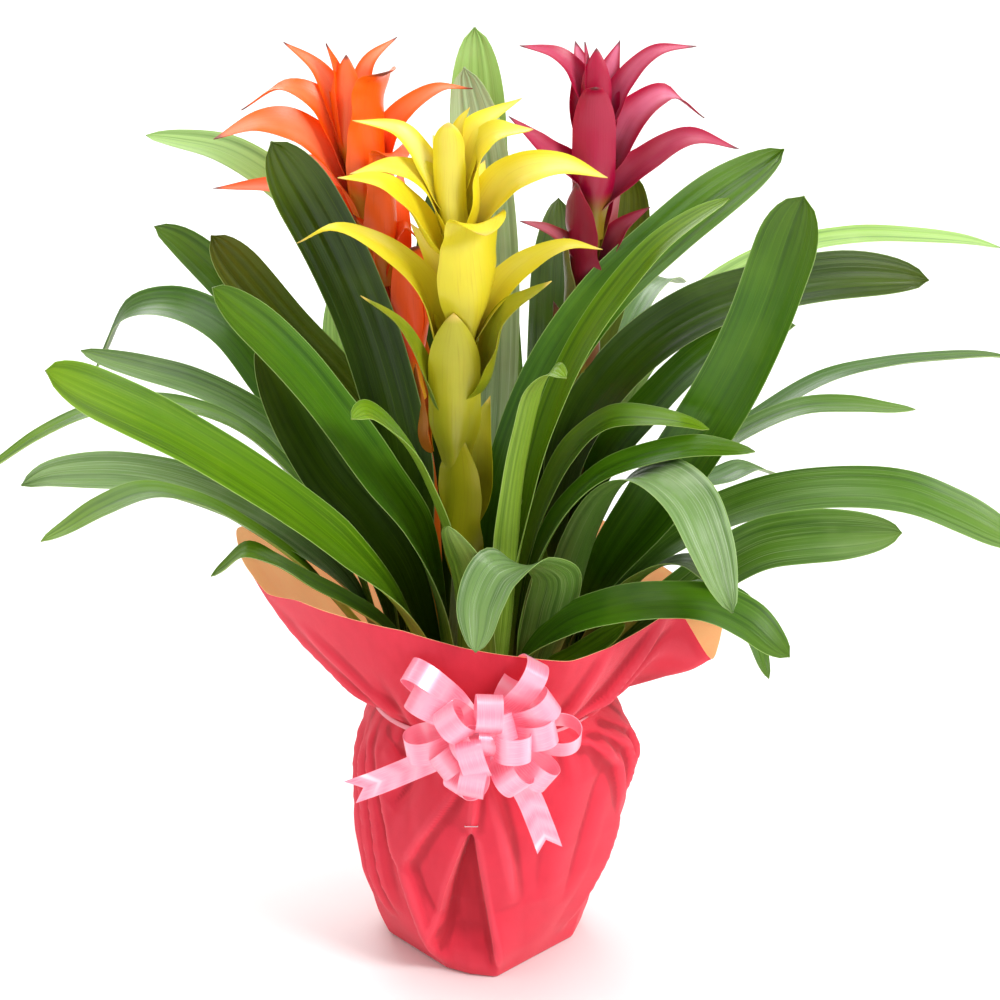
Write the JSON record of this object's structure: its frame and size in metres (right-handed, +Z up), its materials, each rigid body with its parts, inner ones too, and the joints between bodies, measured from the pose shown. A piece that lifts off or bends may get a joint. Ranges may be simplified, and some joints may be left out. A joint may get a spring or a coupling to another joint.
{
  "type": "potted bromeliad",
  "caption": "Bromeliads with orange, yellow and magenta flower spikes in a round pot, wrapped in red cloth with a pink ribbon bow.",
  "frame": {"origin": "middle of the flat underside of the wrapping, on the surface that the pot stands on", "axes": "+Z up; -Y towards the side with the bow; +X to the right as the bow is looked at"},
  "size_m": [0.7498, 0.4539, 0.66],
  "materials": {
    "leaf": "living leaf, glossy",
    "orange_bracts": "waxy orange bract",
    "yellow_bracts": "waxy yellow bract",
    "magenta_bracts": "waxy magenta bract",
    "wrapping_cloth": "matt nonwoven cloth",
    "satin_ribbon": "satin",
    "tie_strip": "matt",
    "pot_plastic": "matt moulded",
    "potting_soil": "rough crumbly peat mix, as light as wood",
    "staple_wire": "plated wire"
  },
  "bodies": {
    "root": {"pot": "pot_plastic", "soil": "potting_soil", "wrapping_cloth": "wrapping_cloth", "tie": "tie_strip", "bow": "satin_ribbon", "staple": "staple_wire", "orange_leaf_1": "leaf", "orange_leaf_2": "leaf", "orange_leaf_3": "leaf", "orange_leaf_4": "leaf", "orange_leaf_5": "leaf", "orange_leaf_6": "leaf", "orange_leaf_7": "leaf", "orange_leaf_8": "leaf", "orange_leaf_9": "leaf", "orange_leaf_10": "leaf", "orange_leaf_11": "leaf", "orange_leaf_12": "leaf", "orange_leaf_13": "leaf", "orange_leaf_14": "leaf", "yellow_leaf_1": "leaf", "yellow_leaf_2": "leaf", "yellow_leaf_3": "leaf", "yellow_leaf_4": "leaf", "yellow_leaf_5": "leaf", "yellow_leaf_6": "leaf", "yellow_leaf_7": "leaf", "yellow_leaf_8": "leaf", "yellow_leaf_9": "leaf", "yellow_leaf_10": "leaf", "yellow_leaf_11": "leaf", "yellow_leaf_12": "leaf", "yellow_leaf_13": "leaf", "yellow_leaf_14": "leaf", "magenta_leaf_1": "leaf", "magenta_leaf_2": "leaf", "magenta_leaf_3": "leaf", "magenta_leaf_4": "leaf", "magenta_leaf_5": "leaf", "magenta_leaf_6": "leaf", "magenta_leaf_7": "leaf", "magenta_leaf_8": "leaf", "magenta_leaf_9": "leaf", "magenta_leaf_10": "leaf", "magenta_leaf_11": "leaf", "magenta_leaf_12": "leaf", "magenta_leaf_13": "leaf", "magenta_leaf_14": "leaf", "magenta_leaf_15": "leaf", "magenta_leaf_16": "leaf", "magenta_leaf_17": "leaf", "orange_spike": "orange_bracts", "yellow_spike": "yellow_bracts", "magenta_spike": "magenta_bracts"}
  },
  "joints": []
}
